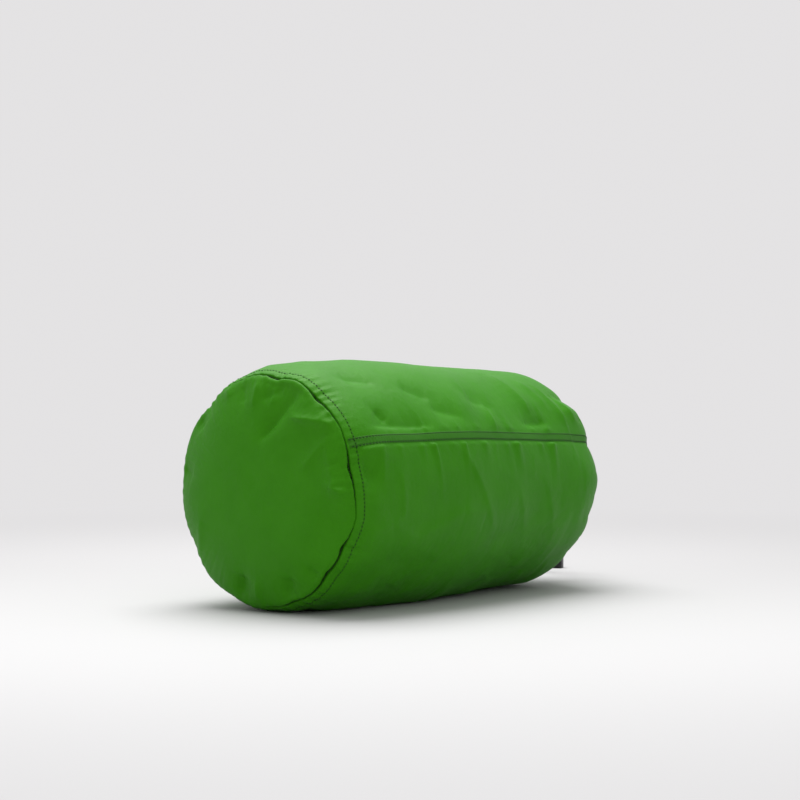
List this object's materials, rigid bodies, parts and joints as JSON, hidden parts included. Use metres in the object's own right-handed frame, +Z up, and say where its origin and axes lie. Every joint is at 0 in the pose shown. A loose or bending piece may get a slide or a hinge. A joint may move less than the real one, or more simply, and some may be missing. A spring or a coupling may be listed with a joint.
{
  "type": "stuff sack",
  "caption": "Filled cylindrical stuff sack lying on its side, with a round sewn base panel, a flat-felled side seam and a mouth drawn shut by a cord with a spring lock.",
  "frame": {"origin": "on the ground, under the middle of the sack measured without its cord, cord lock and cord end", "axes": "+X along the roll from the base panel to the drawn mouth, +Z up"},
  "size_m": [0.4501, 0.2302, 0.1771],
  "materials": {
    "green_fabric": "coated nylon, semi-matt",
    "binding_tape": "woven tape",
    "thread": "polyester thread",
    "cord": "braided polyester",
    "black_plastic": "moulded acetal",
    "spring_steel": "bright wire",
    "packed_load": "soft clothing, rolled and pressed"
  },
  "bodies": {
    "sack": {"base_panel": "green_fabric", "body_panel": "green_fabric", "side_seam_fell": "green_fabric", "mouth_hem": "green_fabric", "base_seam_binding": "binding_tape", "base_seam_thread": "thread", "base_topstitch_thread": "thread", "side_seam_thread": "thread", "hem_thread": "thread", "cord_buttonhole": "thread", "drawcord_loop": "cord", "drawcord_tail_left": "cord", "drawcord_tail_right": "cord", "tail_knot": "cord", "cord_end_shell": "black_plastic", "cord_end_cover": "black_plastic", "packed_load": "packed_load"},
    "cord_lock": {"cord_lock_body": "black_plastic", "cord_lock_spring": "spring_steel"},
    "lock_plunger": {"cord_lock_plunger": "black_plastic"}
  },
  "joints": [
    {"name": "lock_slide", "type": "slide", "parent": "sack", "child": "cord_lock", "axis": [1, 0, 0], "range_m": [0, 0.014]},
    {"name": "plunger_press", "type": "slide", "parent": "cord_lock", "child": "lock_plunger", "axis": [0, 0, 1], "range_m": [-0.0038, 0], "stiffness_N_per_m": 800, "springref_m": 0.003, "deforming": ["cord_lock_spring"]}
  ]
}
